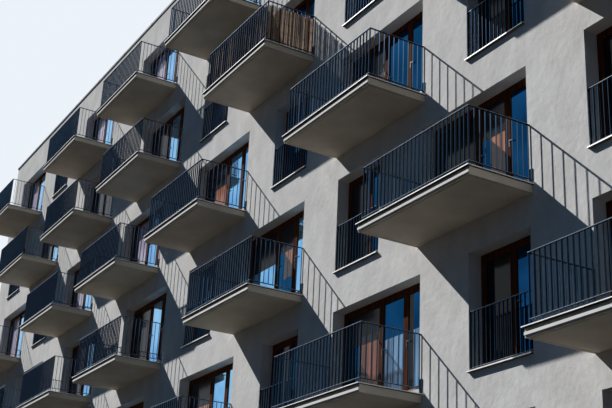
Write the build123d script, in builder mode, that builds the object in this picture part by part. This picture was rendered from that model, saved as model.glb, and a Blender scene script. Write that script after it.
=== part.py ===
import os

from build123d import *

os.makedirs("parts", exist_ok=True)

# Storeys, in millimetres above the ground
ground_floor_level = 500
storey_height = 3000
upper_storeys = 6
opening_height = 2170
floor_thickness = 220
parapet_rise = 350
coping_thickness = 80
coping_overhang = 30

# Depth of the block and of its walls
building_depth = 12800
wall_thickness = 420

# Openings, and where they stand along the front
door_width = 3100
window_width = 1650
wide_pitch = 7650
narrow_pitch = 5450
row_shift = 4550
end_margin = 1250
back_windows = 8

# Window units, sills and the guards between the jambs
reveal_depth = 270
glazing_thickness = 70
sill_thickness = 30
sill_projection = 60
guard_setback = 20
guard_height = 1090
guard_gap = 50
guard_bar_pitch = window_width / 15

# Balconies
balcony_width = 3300
balcony_projection = 1350
slab_drop = 280
slab_thickness = 140
deck_thickness = 25
deck_overhang = 30

# Balcony railings
rail_inset = 70
railing_thickness = 34
top_rail_height = 15
bottom_rail_height = 15
upright_width = 10
railing_rise = 1010
bottom_rail_gap = 100
front_bays = 3

# Slatted screen on one balcony
screen_thickness = 20
screen_clearance = 10
screen_margin = 60

# Levels, length and faces that follow from those sizes
floor_levels = [ground_floor_level + storey_height * k for k in range(upper_storeys + 1)]
roof_level = floor_levels[-1] + storey_height
parapet_top = roof_level + parapet_rise
upper_levels = floor_levels[1:]
spandrel_height = storey_height - opening_height
top_opening_head = floor_levels[-1] + opening_height
deck_rise = slab_thickness + deck_thickness - slab_drop
front_reach = balcony_projection + deck_overhang
front_face = front_reach - (front_reach + building_depth + sill_projection) / 2
back_face = front_face + building_depth
facade_length = 3 * wide_pitch + 2 * narrow_pitch + balcony_width + 2 * end_margin
inner_length = facade_length - 2 * wall_thickness
inner_depth = building_depth - 2 * wall_thickness
inner_centre_y = (front_face + back_face) / 2

# Door and window centres along the front, alternate rows shifted sideways
odd_right = facade_length / 2 - end_margin - balcony_width / 2
pitches = [0, wide_pitch, wide_pitch, narrow_pitch, narrow_pitch, wide_pitch]
odd_doors = [odd_right - sum(pitches[: i + 1]) for i in range(len(pitches))]
even_doors = [x - row_shift for x in odd_doors[:-1]]
half_wide = wide_pitch / 2
odd_windows = [odd_doors[0] - half_wide, odd_doors[1] - half_wide, odd_doors[4] - half_wide]
even_windows = [even_doors[0] + half_wide, even_doors[0] - half_wide, even_doors[1] - half_wide, even_doors[4] - half_wide]
back_pitch = facade_length / back_windows
back_centres = [(i - (back_windows - 1) / 2) * back_pitch for i in range(back_windows)]

# Storey 0 is the ground storey. Rows 1, 3 and 5 are the shifted ones.
row_doors = [even_doors if k % 2 else odd_doors for k in range(upper_storeys + 1)]
row_windows = [even_windows if k % 2 else odd_windows for k in range(upper_storeys + 1)]

door_points = [(x, floor_levels[k]) for k in range(upper_storeys + 1) for x in row_doors[k]]
ground_door_points = [point for point in door_points if point[1] == ground_floor_level]
balcony_door_points = [point for point in door_points if point[1] > ground_floor_level]
window_points = [(x, floor_levels[k]) for k in range(upper_storeys + 1) for x in row_windows[k]]
back_points = [(x, z) for z in floor_levels for x in back_centres]

# Wall planes seen from outside, with the local y axis upward
front_plane = Plane(origin=(0, front_face, 0), x_dir=(1, 0, 0), z_dir=(0, -1, 0))
back_plane = Plane(origin=(0, back_face, 0), x_dir=(-1, 0, 0), z_dir=(0, 1, 0))


def raised(points, rise):
    """The same points, moved up by a height."""
    return [(x, z + rise) for x, z in points]


def save(node, name):
    """Labels one node and writes its STEP file."""
    node.part.label = name
    export_step(node.part, f"parts/{name}.step")


# Plinths carry the ground storey from the ground up to its floor.
with BuildPart() as front_plinth:
    with BuildSketch(front_plane):
        with Locations((0, ground_floor_level / 2)):
            Rectangle(facade_length, ground_floor_level)
    extrude(amount=-wall_thickness)
save(front_plinth, "front_plinth")

with BuildPart() as back_plinth:
    with BuildSketch(back_plane):
        with Locations((0, ground_floor_level / 2)):
            Rectangle(facade_length, ground_floor_level)
    extrude(amount=-wall_thickness)
save(back_plinth, "back_plinth")

# Each storey is a strip of wall with its door and window openings cut through, which leaves the piers.
strip_points = [(0, z + opening_height / 2) for z in floor_levels]

with BuildPart() as front_piers:
    with BuildSketch(front_plane):
        with Locations(*strip_points):
            Rectangle(facade_length, opening_height)
        with Locations(*raised(door_points, opening_height / 2)):
            Rectangle(door_width, opening_height, mode=Mode.SUBTRACT)
        with Locations(*raised(window_points, opening_height / 2)):
            Rectangle(window_width, opening_height, mode=Mode.SUBTRACT)
    extrude(amount=-wall_thickness)
save(front_piers, "front_piers")

with BuildPart() as back_piers:
    with BuildSketch(back_plane):
        with Locations(*strip_points):
            Rectangle(facade_length, opening_height)
        with Locations(*raised(back_points, opening_height / 2)):
            Rectangle(window_width, opening_height, mode=Mode.SUBTRACT)
    extrude(amount=-wall_thickness)
save(back_piers, "back_piers")

# Spandrels run the whole length between one row of openings and the next floor.
spandrel_points = [(0, z + opening_height + spandrel_height / 2) for z in floor_levels[:-1]]

with BuildPart() as front_spandrels:
    with BuildSketch(front_plane):
        with Locations(*spandrel_points):
            Rectangle(facade_length, spandrel_height)
    extrude(amount=-wall_thickness)
save(front_spandrels, "front_spandrels")

with BuildPart() as back_spandrels:
    with BuildSketch(back_plane):
        with Locations(*spandrel_points):
            Rectangle(facade_length, spandrel_height)
    extrude(amount=-wall_thickness)
save(back_spandrels, "back_spandrels")

# Parapets stand on the top row of piers and hide the flat roof.
parapet_height = parapet_top - top_opening_head

with BuildPart() as front_parapet:
    with BuildSketch(front_plane):
        with Locations((0, top_opening_head + parapet_height / 2)):
            Rectangle(facade_length, parapet_height)
    extrude(amount=-wall_thickness)
save(front_parapet, "front_parapet")

with BuildPart() as back_parapet:
    with BuildSketch(back_plane):
        with Locations((0, top_opening_head + parapet_height / 2)):
            Rectangle(facade_length, parapet_height)
    extrude(amount=-wall_thickness)
save(back_parapet, "back_parapet")

# End walls close the block between the two long walls.
end_wall_x = (facade_length - wall_thickness) / 2

with BuildPart() as left_end_wall:
    with BuildSketch():
        with Locations((-end_wall_x, inner_centre_y)):
            Rectangle(wall_thickness, inner_depth)
    extrude(amount=parapet_top)
save(left_end_wall, "left_end_wall")

with BuildPart() as right_end_wall:
    with BuildSketch():
        with Locations((end_wall_x, inner_centre_y)):
            Rectangle(wall_thickness, inner_depth)
    extrude(amount=parapet_top)
save(right_end_wall, "right_end_wall")

# Floors span between the walls, with their tops at the foot of each row of openings.
with BuildPart() as ground_floor:
    with BuildSketch(Plane.XY.offset(ground_floor_level)):
        with Locations((0, inner_centre_y)):
            Rectangle(inner_length, inner_depth)
    extrude(amount=-floor_thickness)
save(ground_floor, "ground_floor")

with BuildPart() as upper_floors:
    with Locations(*[(0, inner_centre_y, z) for z in upper_levels]):
        Box(inner_length, inner_depth, floor_thickness, align=(Align.CENTER, Align.CENTER, Align.MAX))
save(upper_floors, "upper_floors")

with BuildPart() as roof_slab:
    with BuildSketch(Plane.XY.offset(roof_level)):
        with Locations((0, inner_centre_y)):
            Rectangle(inner_length, inner_depth)
    extrude(amount=-floor_thickness)
save(roof_slab, "roof_slab")

# Copings cap the parapets and the end walls, and overhang them on both sides.
coping_width = wall_thickness + 2 * coping_overhang
coping_length = facade_length + 2 * coping_overhang
end_coping_length = inner_depth - 2 * coping_overhang

with BuildPart() as front_coping:
    with BuildSketch(Plane.XY.offset(parapet_top)):
        with Locations((0, front_face + wall_thickness / 2)):
            Rectangle(coping_length, coping_width)
    extrude(amount=coping_thickness)
save(front_coping, "front_coping")

with BuildPart() as back_coping:
    with BuildSketch(Plane.XY.offset(parapet_top)):
        with Locations((0, back_face - wall_thickness / 2)):
            Rectangle(coping_length, coping_width)
    extrude(amount=coping_thickness)
save(back_coping, "back_coping")

with BuildPart() as end_copings:
    with BuildSketch(Plane.XY.offset(parapet_top)):
        with Locations((-end_wall_x, inner_centre_y), (end_wall_x, inner_centre_y)):
            Rectangle(coping_width, end_coping_length)
    extrude(amount=coping_thickness)
save(end_copings, "end_copings")

# Sills lie across the foot of each window and each ground storey opening, and stand proud of the wall.
sill_depth = reveal_depth + sill_projection

with BuildPart() as front_sills:
    with BuildSketch(front_plane.offset(sill_projection)):
        with Locations(*raised(ground_door_points, sill_thickness / 2)):
            Rectangle(door_width, sill_thickness)
        with Locations(*raised(window_points, sill_thickness / 2)):
            Rectangle(window_width, sill_thickness)
    extrude(amount=-sill_depth)
save(front_sills, "front_sills")

with BuildPart() as back_sills:
    with BuildSketch(back_plane.offset(sill_projection)):
        with Locations(*raised(back_points, sill_thickness / 2)):
            Rectangle(window_width, sill_thickness)
    extrude(amount=-sill_depth)
save(back_sills, "back_sills")

# A threshold lies across the foot of each balcony door, flush with the wall between the railing ends.
with BuildPart() as door_thresholds:
    with BuildSketch(front_plane):
        with Locations(*raised(balcony_door_points, sill_thickness / 2)):
            Rectangle(door_width, sill_thickness)
    extrude(amount=-reveal_depth)
save(door_thresholds, "door_thresholds")

# Each opening is closed by one fixed window unit behind a deep reveal.
unit_height = opening_height
unit_rise = unit_height / 2

with BuildPart() as front_glazing:
    with BuildSketch(front_plane.offset(-reveal_depth)):
        with Locations(*raised(door_points, unit_rise)):
            Rectangle(door_width, unit_height)
        with Locations(*raised(window_points, unit_rise)):
            Rectangle(window_width, unit_height)
    extrude(amount=-glazing_thickness)
save(front_glazing, "front_glazing")

with BuildPart() as back_glazing:
    with BuildSketch(back_plane.offset(-reveal_depth)):
        with Locations(*raised(back_points, unit_rise)):
            Rectangle(window_width, unit_height)
    extrude(amount=-glazing_thickness)
save(back_glazing, "back_glazing")

# Guards stand between the jambs of the tall windows, from the second storey up.
guard_foot = sill_thickness + guard_gap
guard_frame_height = guard_height - guard_foot
guard_rise = guard_foot + guard_frame_height / 2
guard_gap_height = guard_frame_height - top_rail_height - bottom_rail_height
guard_gap_rise = guard_foot + bottom_rail_height + guard_gap_height / 2
guard_gap_width = 5 * guard_bar_pitch - upright_width
guarded_windows = [point for point in window_points if point[1] > ground_floor_level]
guarded_back_windows = [point for point in back_points if point[1] > ground_floor_level]

with BuildPart() as front_window_guards:
    with BuildSketch(front_plane.offset(-guard_setback)):
        with Locations(*raised(guarded_windows, guard_rise)):
            Rectangle(window_width, guard_frame_height)
        with Locations(*raised(guarded_windows, guard_gap_rise)):
            with GridLocations(5 * guard_bar_pitch, 0, 3, 1):
                Rectangle(guard_gap_width, guard_gap_height, mode=Mode.SUBTRACT)
    extrude(amount=-railing_thickness)
save(front_window_guards, "front_window_guards")

with BuildPart() as back_window_guards:
    with BuildSketch(back_plane.offset(-guard_setback)):
        with Locations(*raised(guarded_back_windows, guard_rise)):
            Rectangle(window_width, guard_frame_height)
        with Locations(*raised(guarded_back_windows, guard_gap_rise)):
            Rectangle(window_width - 2 * upright_width, guard_gap_height, mode=Mode.SUBTRACT)
    extrude(amount=-railing_thickness)
save(back_window_guards, "back_window_guards")

# One balcony railing front, centred on x = 0 with the floor level at z = 0
panel_foot = deck_rise + bottom_rail_gap
panel_height = railing_rise - panel_foot
panel_centre = panel_foot + panel_height / 2
panel_gap_height = panel_height - top_rail_height - bottom_rail_height
panel_gap_centre = panel_foot + bottom_rail_height + panel_gap_height / 2
front_span = balcony_width - 2 * rail_inset
front_bay_pitch = front_span / front_bays
panel_width = front_span + railing_thickness
foot_x = (panel_width - upright_width) / 2
foot_z = deck_rise + bottom_rail_gap / 2
panel_reach = balcony_projection - rail_inset
panel_back = panel_reach - railing_thickness / 2

with BuildPart() as railing_front:
    with BuildSketch(front_plane.offset(panel_back)):
        with Locations((0, panel_centre)):
            Rectangle(panel_width, panel_height)
        with Locations((-foot_x, foot_z), (foot_x, foot_z)):
            Rectangle(upright_width, bottom_rail_gap)
        with Locations((0, panel_gap_centre)):
            with GridLocations(front_bay_pitch, 0, front_bays, 1):
                Rectangle(front_bay_pitch - upright_width, panel_gap_height, mode=Mode.SUBTRACT)
    extrude(amount=railing_thickness)

# One railing side, from the back of that front to the wall
side_plane = Plane(origin=(0, front_face - panel_back / 2, 0), x_dir=(0, 1, 0), z_dir=(1, 0, 0))

with BuildPart() as railing_side:
    with BuildSketch(side_plane):
        with Locations((0, panel_centre)):
            Rectangle(panel_back, panel_height)
        with Locations((0, panel_gap_centre)):
            Rectangle(panel_back - 2 * upright_width, panel_gap_height, mode=Mode.SUBTRACT)
    extrude(amount=railing_thickness / 2, both=True)

# Every upper storey has one balcony in front of each door.
for storey in range(1, upper_storeys + 1):
    level = floor_levels[storey]
    centres = row_doors[storey]

    with BuildPart() as balcony_slabs:
        with BuildSketch(Plane.XY.offset(level - slab_drop)):
            with Locations(*[(x, front_face - balcony_projection / 2) for x in centres]):
                Rectangle(balcony_width, balcony_projection)
        extrude(amount=slab_thickness)
    save(balcony_slabs, f"balcony_slabs_storey_{storey}")

    with BuildPart() as railing_fronts:
        with Locations(*[(x, 0, level) for x in centres]):
            add(railing_front.part)
    save(railing_fronts, f"railing_fronts_storey_{storey}")

    side_xs = [x + side * front_span / 2 for x in centres for side in (-1, 1)]
    with BuildPart() as railing_sides:
        with Locations(*[(x, 0, level) for x in side_xs]):
            add(railing_side.part)
    save(railing_sides, f"railing_sides_storey_{storey}")

# Metal-edged decks cover the slabs and drip clear of them at the front and both sides.
deck_points = [(x, front_face - front_reach / 2, floor_levels[k] - slab_drop + slab_thickness)
               for k in range(1, upper_storeys + 1) for x in row_doors[k]]

with BuildPart() as balcony_decks:
    with Locations(*deck_points):
        Box(balcony_width + 2 * deck_overhang, front_reach, deck_thickness,
            align=(Align.CENTER, Align.CENTER, Align.MIN))
save(balcony_decks, "balcony_decks")

# A slatted screen stands inside the front and right railings of one fifth-storey balcony.
screen_x = even_doors[1]
screen_z = floor_levels[5] + deck_rise
screen_height = railing_rise - deck_rise - screen_margin
screen_front_width = front_span - railing_thickness
screen_side_length = panel_back - screen_thickness - 2 * screen_clearance

with BuildPart() as balcony_screen:
    with Locations((screen_x, front_face - panel_back, screen_z)):
        Box(screen_front_width, screen_thickness, screen_height,
            align=(Align.CENTER, Align.MIN, Align.MIN))
    with Locations((screen_x + screen_front_width / 2, front_face - screen_clearance, screen_z)):
        Box(screen_thickness, screen_side_length, screen_height,
            align=(Align.MAX, Align.MAX, Align.MIN))
save(balcony_screen, "balcony_screen")
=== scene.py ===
import math

import bpy
from mathutils import Matrix, Vector


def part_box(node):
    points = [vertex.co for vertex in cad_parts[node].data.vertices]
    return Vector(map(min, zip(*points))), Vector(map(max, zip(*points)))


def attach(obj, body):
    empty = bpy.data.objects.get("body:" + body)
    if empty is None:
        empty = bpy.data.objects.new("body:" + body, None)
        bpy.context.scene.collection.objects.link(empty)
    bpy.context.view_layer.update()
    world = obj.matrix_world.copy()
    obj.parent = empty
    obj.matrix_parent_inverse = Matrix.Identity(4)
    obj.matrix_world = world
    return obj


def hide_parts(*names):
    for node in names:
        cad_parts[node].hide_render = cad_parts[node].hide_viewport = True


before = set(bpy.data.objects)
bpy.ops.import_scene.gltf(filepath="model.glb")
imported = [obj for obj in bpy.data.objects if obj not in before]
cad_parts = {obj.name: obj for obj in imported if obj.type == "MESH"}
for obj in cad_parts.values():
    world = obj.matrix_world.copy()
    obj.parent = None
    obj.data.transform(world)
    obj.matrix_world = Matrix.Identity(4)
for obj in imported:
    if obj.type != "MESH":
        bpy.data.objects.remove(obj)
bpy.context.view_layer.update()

# Outer walls: plinth, piers, spandrels, parapets and end walls. Masonry under one coat of pale
# warm-grey mineral render, trowelled on and rubbed down while wet, which leaves soft cloudy marks,
# a shallow relief and a fine sandy grain. The plinth's coat is darker.


def new_material(name):
    """An empty node material with one Principled shader, and its node tree."""
    material = bpy.data.materials.new(name)
    material.use_nodes = True
    tree = material.node_tree
    tree.nodes.clear()
    output = tree.nodes.new("ShaderNodeOutputMaterial")
    shader = tree.nodes.new("ShaderNodeBsdfPrincipled")
    tree.links.new(shader.outputs["BSDF"], output.inputs["Surface"])
    return material, tree, shader


def set_gloss(shader, roughness, specular, metallic=0.0, edge=(1.0, 1.0, 1.0)):
    """The gloss of a finish, the same all over, and the tint of what it mirrors at a low angle."""
    shader.inputs["Roughness"].default_value = roughness
    shader.inputs["Specular IOR Level"].default_value = specular
    shader.inputs["Metallic"].default_value = metallic
    shader.inputs["Specular Tint"].default_value = (*edge, 1.0)


def object_noise(tree, scale, detail, stretch=(1.0, 1.0, 1.0)):
    """Noise on Object coordinates in metres, stretched along the axes, as its factor socket."""
    place = tree.nodes.new("ShaderNodeTexCoord")
    mapping = tree.nodes.new("ShaderNodeMapping")
    mapping.inputs["Scale"].default_value = stretch
    noise = tree.nodes.new("ShaderNodeTexNoise")
    noise.inputs["Scale"].default_value = scale
    noise.inputs["Detail"].default_value = detail
    tree.links.new(place.outputs["Object"], mapping.inputs["Vector"])
    tree.links.new(mapping.outputs["Vector"], noise.inputs["Vector"])
    return noise.outputs["Fac"]


def ramp_between(tree, factor, dark, light, low, high):
    """A colour that runs from dark to light while the factor goes from low to high."""
    ramp = tree.nodes.new("ShaderNodeValToRGB")
    for stop, position, colour in zip(ramp.color_ramp.elements, (low, high), (dark, light)):
        stop.position = position
        stop.color = (*colour, 1.0)
    tree.links.new(factor, ramp.inputs["Fac"])
    return ramp.outputs["Color"]


def multiplied(tree, first, second):
    """The product of two colours."""
    mix = tree.nodes.new("ShaderNodeMix")
    mix.data_type = "RGBA"
    mix.blend_type = "MULTIPLY"
    mix.inputs["Factor"].default_value = 1.0
    tree.links.new(first, mix.inputs["A"])
    tree.links.new(second, mix.inputs["B"])
    return mix.outputs["Result"]


def bump_from(tree, shader, height, strength, distance, under=None):
    """Bump on the shader from a height, distance in metres, over the normal of another bump."""
    bump = tree.nodes.new("ShaderNodeBump")
    bump.inputs["Strength"].default_value = strength
    bump.inputs["Distance"].default_value = distance
    tree.links.new(height, bump.inputs["Height"])
    if under:
        tree.links.new(under, bump.inputs["Normal"])
    tree.links.new(bump.outputs["Normal"], shader.inputs["Normal"])
    return bump.outputs["Normal"]


def render_coat(name, dark, light):
    """Trowelled render between two tones, with broad marks over finer ones, relief and grain."""
    material, tree, shader = new_material(name)
    rubbed = object_noise(tree, scale=2.4, detail=7.0, stretch=(1.0, 1.0, 0.65))
    colour = ramp_between(tree, rubbed, dark, light, low=0.36, high=0.66)
    smears = object_noise(tree, scale=15.0, detail=5.0, stretch=(1.0, 1.0, 0.5))
    marks = ramp_between(tree, smears, (0.955, 0.955, 0.955), (1.0, 1.0, 1.0), low=0.38, high=0.62)
    tree.links.new(multiplied(tree, colour, marks), shader.inputs["Base Color"])
    relief = object_noise(tree, scale=7.5, detail=4.0, stretch=(1.0, 1.0, 0.85))
    trowelled = bump_from(tree, shader, relief, strength=0.8, distance=0.009)
    sand = object_noise(tree, scale=60.0, detail=3.0)
    bump_from(tree, shader, sand, strength=0.3, distance=0.003, under=trowelled)
    set_gloss(shader, roughness=0.95, specular=0.0)
    return material


def coat_nodes(material, *names):
    """Gives CAD nodes one material."""
    for name in names:
        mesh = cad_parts[name].data
        mesh.materials.clear()
        mesh.materials.append(material)


wall_render = render_coat("wall_render", (0.67, 0.66, 0.65), (0.76, 0.755, 0.745))
plinth_render = render_coat("plinth_render", (0.25, 0.25, 0.25), (0.34, 0.34, 0.34))
coat_nodes(wall_render, "front_piers", "front_spandrels", "front_parapet", "back_piers",
           "back_spandrels", "back_parapet", "left_end_wall", "right_end_wall")
coat_nodes(plinth_render, "front_plinth", "back_plinth")

# Floors and roof slab: reinforced concrete cast on site between the walls.
# The rooms show plain pale concrete. The roof carries grey mineral felt in lapped strips.


def cast_concrete(name, dark, light, cloud_scale):
    """Plain concrete or mortar with a cloudy tone and small pores."""
    material, tree, shader = new_material(name)
    clouds = object_noise(tree, cloud_scale, detail=6.0)
    colour = ramp_between(tree, clouds, dark, light, low=0.35, high=0.7)
    tree.links.new(colour, shader.inputs["Base Color"])
    pores = object_noise(tree, scale=90.0, detail=2.0)
    bump_from(tree, shader, pores, strength=0.2, distance=0.002)
    set_gloss(shader, roughness=0.9, specular=0.05)
    return material


def lapped_felt():
    """Mineral felt in strips of two close greys, with dark laps between them."""
    material, tree, shader = new_material("roof_felt")
    place = tree.nodes.new("ShaderNodeTexCoord")
    strips = tree.nodes.new("ShaderNodeTexBrick")
    strips.offset = 0.5
    for name, value in (("Scale", 1.0), ("Brick Width", 8.0), ("Row Height", 1.0),
                        ("Mortar Size", 0.03), ("Mortar Smooth", 0.2),
                        ("Color1", (0.20, 0.20, 0.195, 1.0)),
                        ("Color2", (0.235, 0.235, 0.225, 1.0)),
                        ("Mortar", (0.13, 0.13, 0.13, 1.0))):
        strips.inputs[name].default_value = value
    tree.links.new(place.outputs["Object"], strips.inputs["Vector"])
    tree.links.new(strips.outputs["Color"], shader.inputs["Base Color"])
    mineral = object_noise(tree, scale=160.0, detail=2.0)
    bump_from(tree, shader, mineral, strength=0.3, distance=0.002)
    set_gloss(shader, roughness=0.95, specular=0.05)
    return material


floor_concrete = cast_concrete("floor_concrete", (0.40, 0.39, 0.37), (0.48, 0.47, 0.45),
                               cloud_scale=2.2)
coat_nodes(floor_concrete, "ground_floor", "upper_floors")
coat_nodes(lapped_felt(), "roof_slab")

# Copings: sheet coated in anthracite, folded down over both edges of the walls that it caps.
# Raised straps cover the joints between its lengths, and hold it down.


def coated_metal(name, colour, roughness, specular, metallic=0.0, edge=(1.0, 1.0, 1.0)):
    """Coated or bare metal with a barely uneven tone."""
    material, tree, shader = new_material(name)
    dark = tuple(c * 0.88 for c in colour)
    light = tuple(c * 1.1 for c in colour)
    tones = object_noise(tree, scale=6.0, detail=3.0)
    tone = ramp_between(tree, tones, dark, light, low=0.3, high=0.7)
    tree.links.new(tone, shader.inputs["Base Color"])
    set_gloss(shader, roughness, specular, metallic, edge)
    return material


def solids_of(node):
    """The corners of each solid in a CAD node, in rows from the lowest up, from right to left."""
    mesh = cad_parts[node].data
    parent = {}

    def root(key):
        while parent[key] != key:
            parent[key] = parent[parent[key]]
            key = parent[key]
        return key

    keys = [tuple(round(c, 4) for c in vertex.co) for vertex in mesh.vertices]
    for key in keys:
        parent.setdefault(key, key)
    for polygon in mesh.polygons:
        first = root(keys[polygon.vertices[0]])
        for index in polygon.vertices[1:]:
            parent[root(keys[index])] = first
    groups = {}
    for key in parent:
        groups.setdefault(root(key), []).append(key)
    boxes = [(Vector(map(min, *group)), Vector(map(max, *group))) for group in groups.values()]
    return sorted(boxes, key=lambda box: (round(box[0].z, 2), -round(box[0].x, 2), box[0].y))


def mesh_of_boxes(name, boxes, material):
    """One mesh object made of plain boxes, each given by its lowest and highest corner."""
    corners = []
    faces = []
    for low, high in boxes:
        n = len(corners)
        corners += [(x, y, z) for z in (low[2], high[2]) for y in (low[1], high[1])
                    for x in (low[0], high[0])]
        faces += [(n, n + 2, n + 3, n + 1), (n + 4, n + 5, n + 7, n + 6),
                  (n, n + 1, n + 5, n + 4), (n + 2, n + 6, n + 7, n + 3),
                  (n, n + 4, n + 6, n + 2), (n + 1, n + 3, n + 7, n + 5)]
    mesh = bpy.data.meshes.new(name)
    mesh.from_pydata(corners, [], faces)
    mesh.materials.append(material)
    obj = bpy.data.objects.new(name, mesh)
    bpy.context.scene.collection.objects.link(obj)
    return obj


def joined(name, *objs):
    """Several mesh objects made one."""
    with bpy.context.temp_override(active_object=objs[0], object=objs[0],
                                   selected_objects=list(objs),
                                   selected_editable_objects=list(objs)):
        bpy.ops.object.join()
    objs[0].name = name
    objs[0].data.name = name
    return objs[0]


def piece(obj, slot, *nodes):
    """Hands a finished object over and hides the CAD nodes that it replaces; its slot is not used.
    """
    if nodes:
        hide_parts(*nodes)
    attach(obj, "root")


def growing_tree(name, inputs):
    """A Geometry Nodes tree with named inputs, and its input and output nodes."""
    tree = bpy.data.node_groups.new(name, "GeometryNodeTree")
    for label, kind in inputs.items():
        tree.interface.new_socket(label, in_out="INPUT", socket_type="NodeSocket" + kind)
    tree.interface.new_socket("Geometry", in_out="OUTPUT", socket_type="NodeSocketGeometry")
    return tree, tree.nodes.new("NodeGroupInput"), tree.nodes.new("NodeGroupOutput")


def end_tree(tree, given, result, instances):
    """Ends a tree: its instances become real mesh and take the given material."""
    realize = tree.nodes.new("GeometryNodeRealizeInstances")
    paint = tree.nodes.new("GeometryNodeSetMaterial")
    tree.links.new(instances, realize.inputs["Geometry"])
    tree.links.new(realize.outputs["Geometry"], paint.inputs["Geometry"])
    tree.links.new(given.outputs["Material"], paint.inputs["Material"])
    tree.links.new(paint.outputs["Geometry"], result.inputs["Geometry"])


def row_of_boxes_tree():
    """A node tree that stands a row of equal boxes at each point of a mesh."""
    tree, given, result = growing_tree("row_of_boxes", {
        "Starts": "Geometry", "Count": "Int", "Pitch": "Vector", "Box Size": "Vector",
        "Material": "Material"})
    line = tree.nodes.new("GeometryNodeMeshLine")
    box = tree.nodes.new("GeometryNodeMeshCube")
    row = tree.nodes.new("GeometryNodeInstanceOnPoints")
    rows = tree.nodes.new("GeometryNodeInstanceOnPoints")
    tree.links.new(given.outputs["Count"], line.inputs["Count"])
    tree.links.new(given.outputs["Pitch"], line.inputs["Offset"])
    tree.links.new(given.outputs["Box Size"], box.inputs["Size"])
    tree.links.new(line.outputs["Mesh"], row.inputs["Points"])
    tree.links.new(box.outputs["Mesh"], row.inputs["Instance"])
    tree.links.new(given.outputs["Starts"], rows.inputs["Points"])
    tree.links.new(row.outputs["Instances"], rows.inputs["Instance"])
    end_tree(tree, given, result, rows.outputs["Instances"])
    return tree


def grown(name, tree, points, settings):
    """A plain mesh object that a node tree grows on points, with the tree's inputs set by name."""
    seed_mesh = bpy.data.meshes.new(name + "_points")
    seed_mesh.from_pydata([tuple(p) for p in points], [], [])
    seed = bpy.data.objects.new(name + "_points", seed_mesh)
    bpy.context.scene.collection.objects.link(seed)
    modifier = seed.modifiers.new("grow", "NODES")
    modifier.node_group = tree
    sockets = {s.name: s.identifier for s in tree.interface.items_tree if s.in_out == "INPUT"}
    for key, value in settings.items():
        modifier[sockets[key]] = value
    depsgraph = bpy.context.evaluated_depsgraph_get()
    mesh = bpy.data.meshes.new_from_object(seed.evaluated_get(depsgraph))
    mesh.name = name
    bpy.data.objects.remove(seed)
    obj = bpy.data.objects.new(name, mesh)
    bpy.context.scene.collection.objects.link(obj)
    return obj


rows_tree = row_of_boxes_tree()
coping_sheet = coated_metal("coping_sheet", (0.030, 0.034, 0.042), roughness=0.5, specular=0.05)
strap_rise = 0.004
strap_width = 0.08
long_side_lengths = 16
end_lengths = 5

for node in ("front_coping", "back_coping"):
    low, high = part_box(node)
    cap = mesh_of_boxes(node + "_sheet", [
        ((low.x + strap_rise, low.y + strap_rise, low.z),
         (high.x - strap_rise, high.y - strap_rise, high.z - strap_rise))], coping_sheet)
    start = (low.x + strap_width / 2, (low.y + high.y) / 2, (low.z + high.z) / 2)
    pitch = (high.x - low.x - strap_width) / long_side_lengths
    straps = grown(node + "_straps", rows_tree, [start],
                   {"Count": long_side_lengths + 1, "Pitch": (pitch, 0.0, 0.0),
                    "Box Size": (strap_width, high.y - low.y, high.z - low.z),
                    "Material": coping_sheet})
    piece(joined(node + "_sheets", cap, straps), "coping", node)

end_caps = []
strap_starts = []
for low, high in solids_of("end_copings"):
    end_caps.append(((low.x + strap_rise, low.y, low.z),
                     (high.x - strap_rise, high.y, high.z - strap_rise)))
    strap_starts.append(((low.x + high.x) / 2, low.y + strap_width / 2, (low.z + high.z) / 2))
    end_pitch = (high.y - low.y - strap_width) / end_lengths
    end_strap = (high.x - low.x, strap_width, high.z - low.z)
end_sheets = mesh_of_boxes("end_coping_sheets", end_caps, coping_sheet)
end_straps = grown("end_coping_straps", rows_tree, strap_starts,
                   {"Count": end_lengths + 1, "Pitch": (0.0, end_pitch, 0.0),
                    "Box Size": end_strap, "Material": coping_sheet})
piece(joined("end_coping_sheets", end_sheets, end_straps), "coping", "end_copings")

# Balcony slabs: smooth precast concrete plates held in the floor's edge, bare and warm grey, with
# a drip groove near the edge. A nearly white strip stands out along the lower half of the front.

slab_concrete = cast_concrete("slab_concrete", (0.54, 0.478, 0.39), (0.70, 0.625, 0.515),
                              cloud_scale=1.1)
strip_paint = cast_concrete("strip_paint", (0.86, 0.85, 0.83), (0.94, 0.93, 0.91), cloud_scale=3.0)
balcony_storeys = range(1, 7)
strip_foot = 0.035
strip_height = 0.046
strip_thickness = 0.02
groove_inset = 0.045
groove_width = 0.02
groove_depth = 0.012

for storey in balcony_storeys:
    plates = []
    strips = []
    for low, high in solids_of(f"balcony_slabs_storey_{storey}"):
        top = low.z + groove_depth
        front = low.y + strip_thickness
        groove_left = low.x + groove_inset
        groove_right = high.x - groove_inset
        groove_front = front + groove_inset
        plates += [((low.x, front, top), tuple(high)),
                   ((groove_left + groove_width, groove_front + groove_width, low.z),
                    (groove_right - groove_width, high.y, top)),
                   ((low.x, front, low.z), (high.x, groove_front, top)),
                   ((low.x, groove_front, low.z), (groove_left, high.y, top)),
                   ((groove_right, groove_front, low.z), (high.x, high.y, top))]
        strips.append(((low.x, low.y, low.z + strip_foot),
                       (high.x, front, low.z + strip_foot + strip_height)))
    slabs = mesh_of_boxes(f"slab_plates_{storey}", plates, slab_concrete)
    painted = mesh_of_boxes(f"slab_strips_{storey}", strips, strip_paint)
    piece(joined(f"balcony_plates_storey_{storey}", slabs, painted), "concrete",
          f"balcony_slabs_storey_{storey}")

# Balcony decks: square grey concrete tiles bedded on the slab, held in by an angle of bright sheet
# that drips clear of the slab at the front and both sides.

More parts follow.
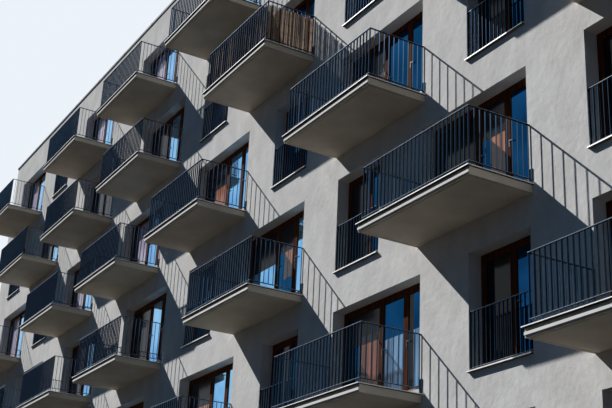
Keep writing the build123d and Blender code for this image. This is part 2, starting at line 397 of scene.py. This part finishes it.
bright_sheet = coated_metal("bright_sheet", (0.90, 0.89, 0.87), roughness=0.5, specular=0.08,
                            metallic=0.25)
deck_tile = cast_concrete("deck_tile", (0.046, 0.045, 0.043), (0.072, 0.070, 0.067),
                          cloud_scale=3.0)
tile_bed = cast_concrete("tile_bed", (0.028, 0.028, 0.028), (0.036, 0.036, 0.036),
                         cloud_scale=6.0)
angle_width = 0.04
lip_height = 0.014
bed_inset = 0.012
bed_drop = 0.010
tile_drop = 0.003
tile_joint = 0.005
tiles_across = 8
tiles_deep = 3

angles = []
beds = []
tile_starts = []
for low, high in solids_of("balcony_decks"):
    left = low.x + angle_width
    right = high.x - angle_width
    front = low.y + angle_width
    lip = high.z - lip_height
    angles += [((low.x, low.y, lip), (high.x, front, high.z)),
               ((low.x, front, lip), (left, high.y, high.z)),
               ((right, front, lip), tuple(high))]
    beds += [((left, front, lip), (right, high.y, high.z - bed_drop)),
             ((low.x + bed_inset, low.y + bed_inset, low.z), (high.x - bed_inset, high.y, lip))]
    tile_width = (right - left) / tiles_across
    tile_depth = (high.y - front) / tiles_deep
    for row in range(tiles_deep):
        tile_starts.append((left + tile_width / 2, front + (row + 0.5) * tile_depth,
                            high.z - (bed_drop + tile_drop) / 2))
deck_angles = mesh_of_boxes("deck_angles", angles, bright_sheet)
deck_beds = mesh_of_boxes("deck_beds", beds, tile_bed)
tile_size = (tile_width - tile_joint, tile_depth - tile_joint, bed_drop - tile_drop)
deck_tiles = grown("deck_tiles", rows_tree, tile_starts,
                   {"Count": tiles_across, "Pitch": (tile_width, 0.0, 0.0),
                    "Box Size": tile_size, "Material": deck_tile})
piece(joined("tiled_decks", deck_angles, deck_beds, deck_tiles), "deck", "balcony_decks")

# Balcony railings: flat bars set on edge between two flat rails, all powder-coated in a bluish
# anthracite. A thin mid-grey band on top of each rail is a painted highlight, where the sun catches
# its top edge, and the blue tint of the coat's gloss is a painted reflection of blue sky. The front
# panel stands on two posts with foot plates on the deck, and the side panels run clear of the deck
# from there to plates on the wall.

# Bluish anthracite coat; the blue tint of its gloss is a painted reflection of blue sky.
railing_paint_painted_sky_sheen = coated_metal("railing_paint_painted_sky_sheen", (0.019, 0.035, 0.058), roughness=0.26,
                             specular=0.26, metallic=0.5, edge=(0.05, 0.55, 1.0))
# The light band on top of each rail is a painted highlight where the sun catches the top edge.
rail_highlight_paint = coated_metal("rail_highlight_paint", (0.40, 0.40, 0.41), roughness=0.4, specular=0.3)
rail_height = 0.015
lower_setback = 0.003
highlight_band = 0.005
bar_face = 0.008
bar_depth = 0.032
side_bar_depth = 0.025
front_bars = 28
side_bars = 11
side_pitch = 0.1145
panel_half = 0.017
post_half = 0.008
post_height = 0.1
foot_plate = (0.035, 0.022, 0.006)
wall_plate = (0.085, 0.014, 0.28)
wall_plate_shift = 0.03


def add_rail(rails, highlight_bands, low, high):
    """Adds a flat rail between two corners, and on it a thin light band that is a painted
    highlight.
    """
    shelf = high[2] - highlight_band
    rails.append((tuple(low), (high[0], high[1], shelf)))
    highlight_bands.append(((low[0], low[1], shelf), tuple(high)))


def add_panel_rails(rails, highlight_bands, low, high, foot, setback):
    """Adds a panel's top rail, and from its foot a lower rail that is set back in x and y."""
    add_rail(rails, highlight_bands, (low.x, low.y, high.z - rail_height), high)
    add_rail(rails, highlight_bands, (low.x + setback[0], low.y + setback[1], foot),
             (high.x - setback[0], high.y - setback[1], foot + rail_height))


for storey in balcony_storeys:
    rails = []
    highlight_bands = []
    front_middles = []
    front_starts = []
    side_starts = []
    for low, high in solids_of(f"railing_fronts_storey_{storey}"):
        front_middles.append((low.x + high.x) / 2)
        middle_y = (low.y + high.y) / 2
        deck_top = low.z
        foot = deck_top + post_height
        add_panel_rails(rails, highlight_bands, low, high, foot, (0.0, lower_setback))
        for x in (low.x + panel_half, high.x - panel_half):
            rails += [((x - post_half, middle_y - post_half, deck_top),
                       (x + post_half, middle_y + post_half, foot)),
                      ((x - foot_plate[0], middle_y - foot_plate[1], deck_top),
                       (x + foot_plate[0], middle_y + foot_plate[1], deck_top + foot_plate[2]))]
        front_starts.append((low.x + panel_half, middle_y, (foot + high.z) / 2))
        front_pitch = (high.x - low.x - 2 * panel_half) / (front_bars - 1)
        bar_height = high.z - foot - 2 * rail_height
    for low, high in solids_of(f"railing_sides_storey_{storey}"):
        middle_x = (low.x + high.x) / 2
        add_panel_rails(rails, highlight_bands, low, high, low.z, (lower_setback, 0.0))
        own_front = min(front_middles, key=lambda front_x: abs(front_x - middle_x))
        plate_x = middle_x + math.copysign(wall_plate_shift, middle_x - own_front)
        rails.append(((plate_x - wall_plate[0] / 2, high.y - wall_plate[1], deck_top),
                      (plate_x + wall_plate[0] / 2, high.y, deck_top + wall_plate[2])))
        side_starts.append((middle_x, low.y - panel_half + side_pitch, (low.z + high.z) / 2))
    frames = mesh_of_boxes(f"railing_rails_{storey}", rails, railing_paint_painted_sky_sheen)
    highlight_strips = mesh_of_boxes(f"railing_cappings_{storey}", highlight_bands, rail_highlight_paint)
    front_row = grown(f"railing_front_bars_{storey}", rows_tree, front_starts,
                      {"Count": front_bars, "Pitch": (front_pitch, 0.0, 0.0),
                       "Box Size": (bar_face, bar_depth, bar_height), "Material": railing_paint_painted_sky_sheen})
    side_row = grown(f"railing_side_bars_{storey}", rows_tree, side_starts,
                     {"Count": side_bars, "Pitch": (0.0, side_pitch, 0.0),
                      "Box Size": (side_bar_depth, bar_face, bar_height),
                      "Material": railing_paint_painted_sky_sheen})
    piece(joined(f"balcony_railings_storey_{storey}", frames, highlight_strips, front_row, side_row),
          "railing", f"railing_fronts_storey_{storey}", f"railing_sides_storey_{storey}")

# Window guards: the same bars and rails, each rail with the same painted highlight band on top,
# between the jambs of each tall window, with a flat upright at each end, held by screwed lugs at
# the ends of the rails.

guard_bars = 14
upright_setback = 0.004
lug = (0.006, 0.006, 0.055)

for side in ("front", "back"):
    rails = []
    highlight_bands = []
    guard_starts = []
    for low, high in solids_of(f"{side}_window_guards"):
        add_panel_rails(rails, highlight_bands, low, high, low.z, (0.0, lower_setback))
        for x in (low.x + post_half, high.x - post_half):
            rails.append(((x - post_half, low.y + upright_setback, low.z + rail_height),
                          (x + post_half, high.y - upright_setback, high.z - rail_height)))
        for x in (low.x, high.x - lug[0]):
            for z in (low.z, high.z - lug[2]):
                rails.append(((x, low.y - lug[1], z), (x + lug[0], high.y + lug[1], z + lug[2])))
        guard_pitch = (high.x - low.x) / (guard_bars + 1)
        bar_height = high.z - low.z - 2 * rail_height
        guard_starts.append((low.x + guard_pitch, (low.y + high.y) / 2, (low.z + high.z) / 2))
    frames = mesh_of_boxes(f"{side}_guard_rails", rails, railing_paint_painted_sky_sheen)
    highlight_strips = mesh_of_boxes(f"{side}_guard_cappings", highlight_bands, rail_highlight_paint)
    guard_row = grown(f"{side}_guard_bars", rows_tree, guard_starts,
                      {"Count": guard_bars, "Pitch": (guard_pitch, 0.0, 0.0),
                       "Box Size": (bar_face, bar_depth, bar_height), "Material": railing_paint_painted_sky_sheen})
    piece(joined(f"{side}_window_guard_bars", frames, highlight_strips, guard_row), "railing",
          f"{side}_window_guards")

# Sills: bright sheet folded down in a short lip, across the foot of each window and of the ground
# storey's door openings. It lies on a bed of mortar, set back behind the lip, whose dark colour is
# painted shade under the lip.

# The mortar bed's dark colour is painted shade under the sill's lip.
sill_bed_painted_shade = cast_concrete("sill_bed_painted_shade", (0.10, 0.095, 0.09), (0.15, 0.145, 0.14),
                           cloud_scale=6.0)
sill_sheet = 0.003
sill_lip = 0.020
bed_setback = 0.014


def box_across(left, right, outer, inner, foot, head):
    """A box of a given width and height between two depths, whichever of them is the larger."""
    return (left, min(outer, inner), foot), (right, max(outer, inner), head)


for side in ("front", "back"):
    sheets = []
    beds = []
    for low, high in solids_of(f"{side}_sills"):
        outer, inner = (low.y, high.y) if side == "front" else (high.y, low.y)
        lip_back = outer + math.copysign(sill_sheet, inner - outer)
        bed_front = outer + math.copysign(bed_setback, inner - outer)
        underside = high.z - sill_sheet
        sheets += [box_across(low.x, high.x, outer, lip_back, high.z - sill_lip, high.z),
                   box_across(low.x, high.x, lip_back, inner, underside, high.z)]
        beds.append(box_across(low.x + sill_sheet, high.x - sill_sheet, bed_front, inner,
                               low.z, underside))
    folded = mesh_of_boxes(f"{side}_sill_folds", sheets, bright_sheet)
    bedded = mesh_of_boxes(f"{side}_sill_beds", beds, sill_bed_painted_shade)
    piece(joined(f"{side}_sill_sheets", folded, bedded), "bright_sheet", f"{side}_sills")

# Door thresholds: a flat metal sheet across the foot of each balcony door, from the timber to the
# face of the wall, screwed down and trodden dull.

worn_sheet = coated_metal("worn_sheet", (0.30, 0.295, 0.285), roughness=0.5, specular=0.08,
                          metallic=0.25)
coat_nodes(worn_sheet, "door_thresholds")

# Balcony doors and tall windows: red-brown stained timber frames, screwed in behind a deep reveal,
# with two or three leaves, beads round the panes and steel handles. Every opening is closed by a
# copy of one of the two kinds of unit.


def stained_timber():
    """Red-brown stained softwood, with the grain running upwards."""
    material, tree, shader = new_material("stained_timber")
    grain = object_noise(tree, scale=24.0, detail=5.0, stretch=(1.0, 1.0, 0.06))
    colour = ramp_between(tree, grain, (0.034, 0.010, 0.004), (0.115, 0.036, 0.012),
                          low=0.3, high=0.72)
    tree.links.new(colour, shader.inputs["Base Color"])
    set_gloss(shader, roughness=0.8, specular=0.02)
    return material


timber = stained_timber()
handle_steel = coated_metal("handle_steel", (0.07, 0.07, 0.075), roughness=0.45, specular=0.1,
                            metallic=0.3)
widest_window = 2.0
frame_face = 0.055
leaf_edges = {"door": (frame_face, 1.42, 2.26), "window": (frame_face, 0.88)}
leaf_face = 0.075
leaf_foot = 0.11
leaf_step = 0.012
leaf_gap = 0.002
bead_face = 0.014
bead_back = 0.010
pane_half = 0.012
# Corners of a handle's plate and lever, from the left edge of its leaf and the foot of the unit.
handle_plate = ((0.03, -0.006, 0.98), (0.05, 0.0, 1.12))
handle_lever = ((0.033, -0.012, 1.085), (0.15, -0.006, 1.105))


def unit_kind(low, high):
    """Door or window, told by the width of the unit."""
    return "door" if high.x - low.x > widest_window else "window"


def timber_unit(name, size, edges):
    """One unit at the origin: frame, leaves and beads, and handles on all leaves but the first."""
    width, depth, height = size
    members = [((0.0, leaf_step, 0.0), (frame_face, depth, height)),
               ((width - frame_face, leaf_step, 0.0), (width, depth, height)),
               ((frame_face, leaf_step, 0.0), (width - frame_face, depth, frame_face)),
               ((frame_face, leaf_step, height - frame_face), (width - frame_face, depth, height))]
    foot = frame_face
    head = height - frame_face
    back = depth - leaf_step
    for left, right in zip(edges, (*edges[1:], width - frame_face)):
        x0, x1, z0, z1 = left + leaf_face, right - leaf_face, foot + leaf_foot, head - leaf_face
        bead_end = depth / 2 - pane_half
        members += [((left + leaf_gap, 0.0, foot), (x0, back, head)),
                    ((x1, 0.0, foot), (right - leaf_gap, back, head)),
                    ((x0, 0.0, foot), (x1, back, z0)),
                    ((x0, 0.0, z1), (x1, back, head)),
                    ((x0, bead_back, z0), (x0 + bead_face, bead_end, z1)),
                    ((x1 - bead_face, bead_back, z0), (x1, bead_end, z1)),
                    ((x0 + bead_face, bead_back, z0), (x1 - bead_face, bead_end, z0 + bead_face)),
                    ((x0 + bead_face, bead_back, z1 - bead_face), (x1 - bead_face, bead_end, z1))]
    handles = [((left + low[0], low[1], low[2]), (left + high[0], high[1], high[2]))
               for left in edges[1:] for low, high in (handle_plate, handle_lever)]
    return (mesh_of_boxes(name, members, timber),
            mesh_of_boxes(name + "_handles", handles, handle_steel))


def copies_tree():
    """A node tree that sets a copy of one object at each point of a mesh."""
    tree, given, result = growing_tree("copies_at_points", {
        "Starts": "Geometry", "Copied": "Object", "Turn": "Float", "Material": "Material"})
    info = tree.nodes.new("GeometryNodeObjectInfo")
    turned = tree.nodes.new("ShaderNodeCombineXYZ")
    copies = tree.nodes.new("GeometryNodeInstanceOnPoints")
    tree.links.new(given.outputs["Copied"], info.inputs["Object"])
    tree.links.new(given.outputs["Turn"], turned.inputs["Z"])
    tree.links.new(given.outputs["Starts"], copies.inputs["Points"])
    tree.links.new(info.outputs["Geometry"], copies.inputs["Instance"])
    tree.links.new(turned.outputs["Vector"], copies.inputs["Rotation"])
    end_tree(tree, given, result, copies.outputs["Instances"])
    return tree


unit_tree = copies_tree()
unit_boxes = {side: solids_of(f"{side}_glazing") for side in ("front", "back")}
door_low, door_high = next(box for box in unit_boxes["front"] if unit_kind(*box) == "door")
window_low, window_high = unit_boxes["back"][0]
units = {"door": timber_unit("door_unit", door_high - door_low, leaf_edges["door"]),
         "window": timber_unit("window_unit", window_high - window_low, leaf_edges["window"])}

for side, turn in (("front", 0.0), ("back", math.pi)):
    unit_starts = {"door": [], "window": []}
    for low, high in unit_boxes[side]:
        corner = tuple(low) if side == "front" else (high.x, high.y, low.z)
        unit_starts[unit_kind(low, high)].append(corner)
    copies = []
    for kind, starts in unit_starts.items():
        if starts:
            copies += [grown(f"{side}_units", unit_tree, starts,
                             {"Copied": unit, "Turn": turn, "Material": unit.data.materials[0]})
                       for unit in units[kind]]
    piece(joined(f"{side}_window_frames", *copies), "window_unit", f"{side}_glazing")

for unit in (*units["door"], *units["window"]):
    bpy.data.objects.remove(unit)

# Panes: coated double glazing held in by the beads, whose colours paint what the glass shows: a
# painted reflection of blue sky or of dim surroundings, a painted dark room, the folds of a warm,
# brown, pale or net curtain, or a blind drawn half down. The brown curtain and the blind are
# darkened by painted shade, and the net curtain is tinted by painted sky reflection.


def pane_glass(name, dark, light, roughness=0.04, specular=0.5, metallic=0.0, folds=False,
               edge=(1.0, 1.0, 1.0)):
    """Glazing that reads as one sheet, unevenly toned or in the upright folds of a curtain."""
    material, tree, shader = new_material(name)
    if folds:
        tones = object_noise(tree, scale=16.0, detail=2.0, stretch=(1.0, 1.0, 0.03))
    else:
        tones = object_noise(tree, scale=0.9, detail=2.0)
    tone = ramp_between(tree, tones, dark, light, low=0.35, high=0.65)
    tree.links.new(tone, shader.inputs["Base Color"])
    set_gloss(shader, roughness, specular, metallic, edge)
    return material


def curtained_glass(name, dark, light):
    """Glazing with a curtain close behind it."""
    return pane_glass(name, dark, light, roughness=0.12, specular=0.3, folds=True)


pane_kinds = {
    # s and n: their metallic blue and navy are painted reflections of blue sky and of dim
    # surroundings.
    "s": pane_glass("painted_sky_reflection_pane", (0.08, 0.35, 0.70), (0.26, 0.60, 0.90), metallic=0.95),
    "n": pane_glass("painted_dim_reflection_pane", (0.001, 0.024, 0.075), (0.004, 0.055, 0.155), metallic=0.95,
                    edge=(0.5, 0.72, 0.9)),
    # d: a near-black pane that is a painted dark room.
    "d": pane_glass("painted_dark_room_pane", (0.003, 0.004, 0.006), (0.008, 0.009, 0.012), roughness=0.08,
                    specular=0.12),
    "c": curtained_glass("curtained_pane", (0.30, 0.11, 0.058), (0.56, 0.23, 0.125)),
    "p": curtained_glass("pale_curtained_pane", (0.34, 0.30, 0.42), (0.60, 0.54, 0.70)),
    # e: a brown curtain, darkened further by painted shade.
    "e": curtained_glass("brown_curtain_painted_shade_pane", (0.05, 0.018, 0.012), (0.30, 0.105, 0.062)),
    # v: a net curtain, darkened by painted shade and tinted blue by painted sky reflection.
    "v": curtained_glass("net_curtain_painted_sky_pane", (0.025, 0.09, 0.19), (0.20, 0.40, 0.66)),
    # b: a blind painted near-black with the shade under the head.
    "b": pane_glass("blind_painted_shade_pane", (0.013, 0.016, 0.023), (0.026, 0.029, 0.038), roughness=0.12,
                    specular=0.10),
}

# A word gives one unit's panes from left to right. Rows of doors with words of their own are listed
# from right to left, and all other units take these in turn.
pane_words = {
    "door": ("dsn", "csn", "dns", "csn", "dss", "cnd"),
    "window": ("dn", "bn", "ds", "dn", "nn"),
}
word_step = 3
storey_words = {
    2: ("dnn", "evu", "css", "dsn", "csn", "dns"),
    3: ("dcn", "hms", "dss", "dsn", "dss"),
    4: ("dns", "cnn", "css", "pss", "psn", "pss"),
    5: ("cns", "dnn", "dsn", "dds", "dsn"),
    6: ("dsn", "csn", "css", "pss", "psn", "pss"),
}

# A letter with a layout is a pane of several fields, each with its kind and the shares of the
# pane's width and height at which it begins and ends: left, right, foot, head. The blind and navy
# fields under the head and the dim and navy fields at the left are painted shade from the head and
# the jamb, and the navy foot of m is a painted reflection in shade.
# Painted shade: a dark blind under the head and a navy field at the left jamb.
painted_shade_blind_and_jamb = (("b", 0.0, 1.0, 0.64, 1.0), ("n", 0.0, 0.38, 0.0, 0.64))
pane_layouts = {
    "c": (*painted_shade_blind_and_jamb, ("c", 0.38, 1.0, 0.0, 0.64)),
    "e": (*painted_shade_blind_and_jamb, ("e", 0.38, 1.0, 0.0, 0.64)),
    "m": (*painted_shade_blind_and_jamb, ("c", 0.38, 1.0, 0.28, 0.64), ("n", 0.38, 1.0, 0.0, 0.28)),
    "v": (("n", 0.0, 1.0, 0.6, 1.0), ("v", 0.0, 1.0, 0.0, 0.6)),
    "u": (("d", 0.0, 0.25, 0.0, 1.0), ("n", 0.25, 1.0, 0.6, 1.0), ("v", 0.25, 1.0, 0.0, 0.6)),
    "p": (("d", 0.0, 0.38, 0.0, 1.0), ("p", 0.38, 1.0, 0.0, 1.0)),
    "h": (("b", 0.0, 1.0, 0.55, 1.0), ("s", 0.0, 1.0, 0.0, 0.55)),
}

for side in ("front", "back"):
    panes = {key: [] for key in pane_kinds}
    counts = {"door": 0, "window": 0}
    own_words = {storey: iter(words) for storey, words in storey_words.items()}
    levels = sorted({round(low.z, 2) for low, _ in unit_boxes[side]})
    for low, high in unit_boxes[side]:
        storey = levels.index(round(low.z, 2))
        kind = unit_kind(low, high)
        if kind == "door" and storey in own_words:
            word = next(own_words[storey])
        else:
            words = pane_words[kind]
            word = words[(counts[kind] * word_step + storey) % len(words)]
        counts[kind] += 1
        edges = (*leaf_edges[kind], high.x - low.x - frame_face)
        middle = (low.y + high.y) / 2
        foot = low.z + frame_face + leaf_foot
        pane_height = high.z - frame_face - leaf_face - foot
        for letter, left, right in zip(word, edges[:-1], edges[1:]):
            start = (low.x + left if side == "front" else high.x - right) + leaf_face
            pane_width = right - left - 2 * leaf_face
            for key, x0, x1, z0, z1 in pane_layouts.get(letter, ((letter, 0.0, 1.0, 0.0, 1.0),)):
                panes[key].append((
                    (start + x0 * pane_width, middle - pane_half, foot + z0 * pane_height),
                    (start + x1 * pane_width, middle + pane_half, foot + z1 * pane_height)))
    sheets = [mesh_of_boxes(f"{side}_{key}", boxes, pane_kinds[key])
              for key, boxes in panes.items() if boxes]
    piece(joined(f"{side}_window_panes", *sheets), "window_unit")

# Slatted screen: split reed bound with wire into mats, tied inside one balcony's railing.
# The reeds differ in width, colour and height, and lean a little.

reed_sides = 6
reed_width = 0.021
reed_pitch = 0.0205
reed_clearance = 0.002
least_reed = (0.75, 0.75, 0.955)
reed_lean = 0.006
reed_turn = 3.0
wire_shares = (0.12, 0.37, 0.62, 0.87)
wire_half = 0.0015
wire_inset = 0.0005

def halved(tree, value):
    """Half of a value."""
    half = tree.nodes.new("ShaderNodeMath")
    half.operation = "MULTIPLY"
    half.inputs[1].default_value = 0.5
    tree.links.new(value, half.inputs[0])
    return half.outputs["Value"]


def uneven(tree, low, high, seed):
    """A vector for each reed, drawn between two others with a fixed seed."""
    drawn = tree.nodes.new("FunctionNodeRandomValue")
    drawn.data_type = "FLOAT_VECTOR"
    drawn.inputs[0].default_value = low
    drawn.inputs[1].default_value = high
    drawn.inputs["Seed"].default_value = seed
    return drawn.outputs["Value"]


def reed_tree():
    """A node tree that stands a row of uneven reeds from each point, and stores each one's tone."""
    tree, given, result = growing_tree("reed_row", {
        "Starts": "Geometry", "Count": "Int", "Pitch": "Vector", "Reed Width": "Float",
        "Reed Height": "Float", "Material": "Material"})
    line = tree.nodes.new("GeometryNodeMeshLine")
    reed = tree.nodes.new("GeometryNodeMeshCylinder")
    reed.inputs["Vertices"].default_value = reed_sides
    lift = tree.nodes.new("ShaderNodeCombineXYZ")
    raised = tree.nodes.new("GeometryNodeTransform")
    row = tree.nodes.new("GeometryNodeInstanceOnPoints")
    tones = tree.nodes.new("FunctionNodeRandomValue")
    tones.data_type = "FLOAT"
    tones.inputs["Seed"].default_value = 17
    store = tree.nodes.new("GeometryNodeStoreNamedAttribute")
    store.data_type = "FLOAT"
    store.domain = "INSTANCE"
    store.inputs["Name"].default_value = "reed_tone"
    rows = tree.nodes.new("GeometryNodeInstanceOnPoints")
    tree.links.new(given.outputs["Count"], line.inputs["Count"])
    tree.links.new(given.outputs["Pitch"], line.inputs["Offset"])
    tree.links.new(halved(tree, given.outputs["Reed Width"]), reed.inputs["Radius"])
    tree.links.new(given.outputs["Reed Height"], reed.inputs["Depth"])
    tree.links.new(halved(tree, given.outputs["Reed Height"]), lift.inputs["Z"])
    tree.links.new(reed.outputs["Mesh"], raised.inputs["Geometry"])
    tree.links.new(lift.outputs["Vector"], raised.inputs["Translation"])
    tree.links.new(line.outputs["Mesh"], row.inputs["Points"])
    tree.links.new(raised.outputs["Geometry"], row.inputs["Instance"])
    sizes = uneven(tree, least_reed, (1.0, 1.0, 1.0), seed=4)
    leans = uneven(tree, (-reed_lean, -reed_lean, 0.0), (reed_lean, reed_lean, reed_turn), seed=9)
    tree.links.new(sizes, row.inputs["Scale"])
    tree.links.new(leans, row.inputs["Rotation"])
    tree.links.new(row.outputs["Instances"], store.inputs["Geometry"])
    tree.links.new(next(s for s in tones.outputs if s.enabled), store.inputs["Value"])
    tree.links.new(given.outputs["Starts"], rows.inputs["Points"])
    tree.links.new(store.outputs["Geometry"], rows.inputs["Instance"])
    end_tree(tree, given, result, rows.outputs["Instances"])
    return tree


def reed_skin():
    """Split reed in the tone that is stored on each reed, from dark brown to straw."""
    material, tree, shader = new_material("split_reed")
    stored = tree.nodes.new("ShaderNodeAttribute")
    stored.attribute_name = "reed_tone"
    colour = ramp_between(tree, stored.outputs["Fac"], (0.05, 0.032, 0.022), (0.95, 0.66, 0.44),
                          low=0.0, high=1.0)
    tree.links.new(colour, shader.inputs["Base Color"])
    set_gloss(shader, roughness=0.8, specular=0.2)
    return material


split_reed = reed_skin()
binding_wire = coated_metal("binding_wire", (0.16, 0.14, 0.12), roughness=0.5, specular=0.4,
                            metallic=0.6)
reeds_tree = reed_tree()

mats = []
wires = []
for low, high in solids_of("balcony_screen"):
    along_x = high.x - low.x > high.y - low.y
    length = (high.x - low.x if along_x else high.y - low.y) - reed_width
    count = int(length / reed_pitch) + 1
    step = length / (count - 1)
    foot = low.z + reed_clearance
    if along_x:
        start = (low.x + reed_width / 2, (low.y + high.y) / 2, foot)
        pitch = (step, 0.0, 0.0)
    else:
        start = ((low.x + high.x) / 2, low.y + reed_width / 2, foot)
        pitch = (0.0, step, 0.0)
    mats.append(grown("reed_mat", reeds_tree, [start], {
        "Count": count, "Pitch": pitch, "Reed Width": reed_width,
        "Reed Height": high.z - low.z - 2 * reed_clearance, "Material": split_reed}))
    for share in wire_shares:
        z = low.z + share * (high.z - low.z)
        wires.append(((low.x + wire_inset, low.y + wire_inset, z - wire_half),
                      (high.x - wire_inset, high.y - wire_inset, z + wire_half)))
wire_lines = mesh_of_boxes("reed_wires", wires, binding_wire)
piece(joined("reed_screen", *mats, wire_lines), "screen_slats", "balcony_screen")

# Stage: a plain floor and backdrop, pale to the camera, gloss and glass but dim to the light on the
# block, a low key light from the front left, and two soft ones that keep the right end and the back
# readable.

floor_reach = 400.0
floor_drop = 0.01
pale_floor = (0.62, 0.62, 0.62, 1.0)
dark_floor = (0.020, 0.0164, 0.0127, 1.0)
fill_light = ((0.14, 0.50, 1.0, 1.0), 0.12)
pale_backdrop = ((0.84, 0.89, 0.95, 1.0), 1.0)
lamp_distance = 12.0


def backdrop_rays(tree):
    """One for the rays of the camera, gloss and glass, and nought for the light on the object."""
    path = tree.nodes.new("ShaderNodeLightPath")
    seen = path.outputs["Is Camera Ray"]
    for ray in ("Is Glossy Ray", "Is Transmission Ray"):
        either = tree.nodes.new("ShaderNodeMath")
        either.operation = "MAXIMUM"
        tree.links.new(seen, either.inputs[0])
        tree.links.new(path.outputs[ray], either.inputs[1])
        seen = either.outputs["Value"]
    return seen


floor_mesh = bpy.data.meshes.new("stage_floor")
floor_mesh.from_pydata([(x * floor_reach, y * floor_reach, -floor_drop)
                        for x, y in ((-1, -1), (1, -1), (1, 1), (-1, 1))], [], [(0, 1, 2, 3)])
stage_floor = bpy.data.objects.new("stage_floor", floor_mesh)
bpy.context.scene.collection.objects.link(stage_floor)
floor_material, floor_tree, floor_shader = new_material("stage_floor")
set_gloss(floor_shader, roughness=1.0, specular=0.0)
floor_mix = floor_tree.nodes.new("ShaderNodeMix")
floor_mix.data_type = "RGBA"
floor_mix.inputs["A"].default_value = dark_floor
floor_mix.inputs["B"].default_value = pale_floor
floor_tree.links.new(backdrop_rays(floor_tree), floor_mix.inputs["Factor"])
floor_tree.links.new(floor_mix.outputs["Result"], floor_shader.inputs["Base Color"])
floor_mesh.materials.append(floor_material)

world = bpy.data.worlds.new("studio")
bpy.context.scene.world = world
world.use_nodes = True
studio = world.node_tree
studio.nodes.clear()
studio_output = studio.nodes.new("ShaderNodeOutputWorld")
studio_mix = studio.nodes.new("ShaderNodeMixShader")
for socket, (colour, strength) in zip(studio_mix.inputs[1:], (fill_light, pale_backdrop)):
    background = studio.nodes.new("ShaderNodeBackground")
    background.inputs["Color"].default_value = colour
    background.inputs["Strength"].default_value = strength
    studio.links.new(background.outputs["Background"], socket)
studio.links.new(backdrop_rays(studio), studio_mix.inputs["Fac"])
studio.links.new(studio_mix.outputs["Shader"], studio_output.inputs["Surface"])


def sun_lamp(name, energy, colour, angle, travel):
    """A distant lamp whose light travels along a direction."""
    light = bpy.data.lights.new(name, "SUN")
    light.energy = energy
    light.color = colour
    light.angle = math.radians(angle)
    lamp = bpy.data.objects.new(name, light)
    lamp.rotation_mode = "QUATERNION"
    lamp.rotation_quaternion = Vector(travel).to_track_quat("-Z", "Y")
    lamp.location = Vector(travel) * -lamp_distance
    bpy.context.scene.collection.objects.link(lamp)


sun_lamp("key_light", energy=6.3, colour=(0.99, 0.975, 0.95), angle=0.5,
         travel=(3.15, 1.4, -3.07))
sun_lamp("side_light", energy=0.33, colour=(1.0, 0.97, 0.94), angle=10.0,
         travel=(-1.0, -0.12, -0.25))
sun_lamp("back_light", energy=2.2, colour=(0.97, 0.98, 1.0), angle=15.0,
         travel=(-0.75, -0.85, -0.6))

# The camera stands past the block's right end, out in front of it and at eye height, and looks up
# and to the left along the front.
camera_data = bpy.data.cameras.new("camera")
camera_data.sensor_width = 36.0
camera_data.lens = 68.17
camera_data.clip_end = 500.0
camera = bpy.data.objects.new("camera", camera_data)
right = Vector((0.50431416, 0.86226211, 0.04659708))
down = Vector((-0.30569947, 0.22874204, -0.92424289))
ahead = Vector((-0.80759833, 0.45186407, 0.37895092))
camera_x = 27.575
camera_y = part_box("front_piers")[0].y - 11.88
eye_height = 1.6
camera.matrix_world = Matrix((
    (right.x, -down.x, -ahead.x, camera_x),
    (right.y, -down.y, -ahead.y, camera_y),
    (right.z, -down.z, -ahead.z, eye_height),
    (0.0, 0.0, 0.0, 1.0),
))
bpy.context.scene.collection.objects.link(camera)
bpy.context.scene.camera = camera
bpy.context.scene.view_settings.view_transform = "Standard"
